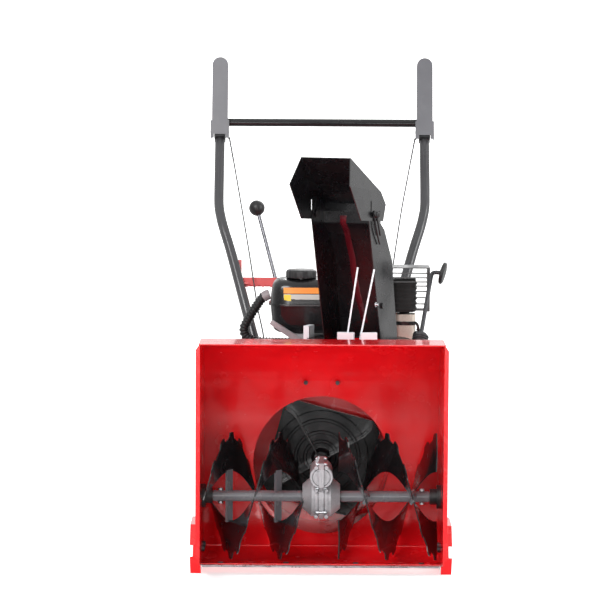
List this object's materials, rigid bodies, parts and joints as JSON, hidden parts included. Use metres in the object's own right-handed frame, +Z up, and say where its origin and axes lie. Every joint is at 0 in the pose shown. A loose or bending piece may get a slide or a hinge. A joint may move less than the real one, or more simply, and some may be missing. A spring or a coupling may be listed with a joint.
{
  "type": "snow blower",
  "caption": "Walk-behind petrol snow blower with toothed ribbon augers in a red intake housing, turning chute with tilting deflector, engine, wheels and lever-controlled handles.",
  "frame": {"origin": "on the ground, at the middle of the machine's bounding box", "axes": "+Z up, +Y from the intake towards the operator, +X to the left as seen by the operator who looks along -Y"},
  "size_m": [0.6013, 1.0349, 1.1811],
  "materials": {
    "red_paint": "gloss powder coat",
    "black_paint": "gloss powder coat",
    "black_plastic": "satin moulded",
    "zinc_steel": "zinc plated",
    "cast_alloy": "as cast",
    "bronze": "machined",
    "white_nylon": "natural nylon",
    "black_rubber": "matte",
    "tyre_rubber": "matte",
    "rim_paint": "gloss paint"
  },
  "bodies": {
    "machine": {"housing_sheet": "red_paint", "side_plate_left": "red_paint", "side_plate_right": "red_paint", "impeller_drum": "red_paint", "scraper_bar": "zinc_steel", "skid_shoe_left": "red_paint", "skid_shoe_right": "red_paint", "housing_bolts": "zinc_steel", "auger_bearings": "black_plastic", "impeller_bearing": "zinc_steel", "gearbox_half_left": "cast_alloy", "gearbox_half_right": "cast_alloy", "gearbox_bolts": "zinc_steel", "chute_keepers": "white_nylon", "tractor_frame": "black_paint", "belt_cover": "black_plastic", "auger_belt": "black_rubber", "engine_block": "cast_alloy", "cylinder_head": "cast_alloy", "recoil_cover": "black_plastic", "fuel_tank": "black_paint", "muffler": "black_paint", "muffler_guard": "black_paint", "ribbed_hose": "black_plastic", "handle_left": "black_paint", "handle_right": "black_paint", "cross_tube": "black_paint", "grips": "black_rubber", "lever_brackets": "black_plastic", "cables": "black_rubber", "speed_panel": "red_paint"},
    "auger": {"auger_shaft": "zinc_steel", "worm_wheel": "bronze", "auger_tubes": "black_paint", "auger_flights_left": "black_paint", "auger_flights_right": "black_paint", "shear_pins": "zinc_steel"},
    "impeller_set": {"impeller_shaft": "zinc_steel", "impeller": "black_paint", "impeller_pulley": "zinc_steel"},
    "chute_body": {"chute": "black_paint", "nylon_ties": "white_nylon"},
    "deflector_body": {"deflector": "black_paint", "deflector_nuts": "black_plastic"},
    "crank": {"chute_crank": "zinc_steel", "crank_knob": "black_plastic"},
    "crankshaft": {"engine_pulley": "zinc_steel"},
    "disc": {"drive_disc": "cast_alloy"},
    "fork": {"shift_fork": "zinc_steel"},
    "friction_wheel_body": {"friction_wheel": "black_rubber"},
    "final_shaft": {"drive_shaft": "zinc_steel"},
    "wheels": {"axle": "zinc_steel", "tyres": "tyre_rubber", "wheel_rims": "rim_paint"},
    "left_lever": {"lever_left": "black_plastic"},
    "right_lever": {"lever_right": "black_plastic"},
    "selector": {"speed_lever": "zinc_steel", "speed_knob": "black_plastic"},
    "cap": {"fuel_cap": "black_plastic"},
    "starter_handle": {"recoil_handle": "black_plastic"}
  },
  "joints": [
    {"name": "impeller_spin", "type": "hinge", "parent": "machine", "child": "impeller_set", "pos_m": [0, -0.218, 0.235], "axis": [0, 1, 0], "continuous": true},
    {"name": "auger_spin", "type": "hinge", "parent": "machine", "child": "auger", "pos_m": [0, -0.363, 0.182], "axis": [1, 0, 0], "continuous": true},
    {"name": "chute_turn", "type": "hinge", "parent": "machine", "child": "chute_body", "pos_m": [0.088, -0.14, 0.518], "axis": [0, 0, 1], "range_deg": [-66, 114]},
    {"name": "crank_turn", "type": "hinge", "parent": "machine", "child": "crank", "pos_m": [0.262, -0.048, 0.672], "axis": [0.1663, 0.5343, 0.8288], "range_deg": [-792, 1368]},
    {"name": "deflector_tilt", "type": "hinge", "parent": "chute_body", "child": "deflector_body", "pos_m": [0.05058, -0.22405, 0.821], "axis": [0.9135, -0.4067, 0], "range_deg": [-2, 40]},
    {"name": "crankshaft_spin", "type": "hinge", "parent": "machine", "child": "crankshaft", "pos_m": [0, -0.038, 0.43], "axis": [0, 1, 0], "continuous": true},
    {"name": "drive_disc_spin", "type": "hinge", "parent": "machine", "child": "disc", "pos_m": [0, 0.002, 0.255], "axis": [0, 1, 0], "continuous": true},
    {"name": "fork_slide", "type": "slide", "parent": "machine", "child": "fork", "axis": [1, 0, 0], "range_m": [0, 0.042]},
    {"name": "friction_wheel_spin", "type": "hinge", "parent": "fork", "child": "friction_wheel_body", "pos_m": [0.02, 0.0935, 0.255], "axis": [1, 0, 0], "continuous": true},
    {"name": "final_shaft_spin", "type": "hinge", "parent": "machine", "child": "final_shaft", "pos_m": [0, 0.0935, 0.255], "axis": [1, 0, 0], "continuous": true},
    {"name": "wheel_spin", "type": "hinge", "parent": "machine", "child": "wheels", "pos_m": [0, 0.122, 0.165], "axis": [1, 0, 0], "continuous": true},
    {"name": "left_lever_press", "type": "hinge", "parent": "machine", "child": "left_lever", "pos_m": [-0.26, 0.40443, 0.99215], "axis": [-1, 0, 0], "range_deg": [0, 11], "stiffness_Nm_per_rad": 2, "springref_deg": -14.32},
    {"name": "right_lever_press", "type": "hinge", "parent": "machine", "child": "right_lever", "pos_m": [0.26, 0.40443, 0.99215], "axis": [-1, 0, 0], "range_deg": [0, 11], "stiffness_Nm_per_rad": 2, "springref_deg": -14.32},
    {"name": "speed_select", "type": "hinge", "parent": "machine", "child": "selector", "pos_m": [-0.1115, 0.293, 0.612], "axis": [0, 1, 0], "range_deg": [0, 30]},
    {"name": "cap_turn", "type": "hinge", "parent": "machine", "child": "cap", "pos_m": [-0.05, 0.042, 0.65], "axis": [0, 0, 1], "range_deg": [0, 90]},
    {"name": "starter_pull", "type": "slide", "parent": "machine", "child": "starter_handle", "axis": [0, 1, 0], "range_m": [0, 0.25], "stiffness_N_per_m": 60, "springref_m": -0.05}
  ],
  "couplings": [
    {"joint": "auger_spin", "follows": "impeller_spin", "ratio": 0.05},
    {"joint": "crank_turn", "follows": "chute_turn", "ratio": 12},
    {"joint": "drive_disc_spin", "follows": "crankshaft_spin", "ratio": 0.76},
    {"joint": "friction_wheel_spin", "follows": "wheel_spin", "ratio": -3.7949},
    {"joint": "final_shaft_spin", "follows": "wheel_spin", "ratio": -3.7949},
    {"joint": "fork_slide", "follows": "speed_select", "m_per_rad": 0.08}
  ]
}
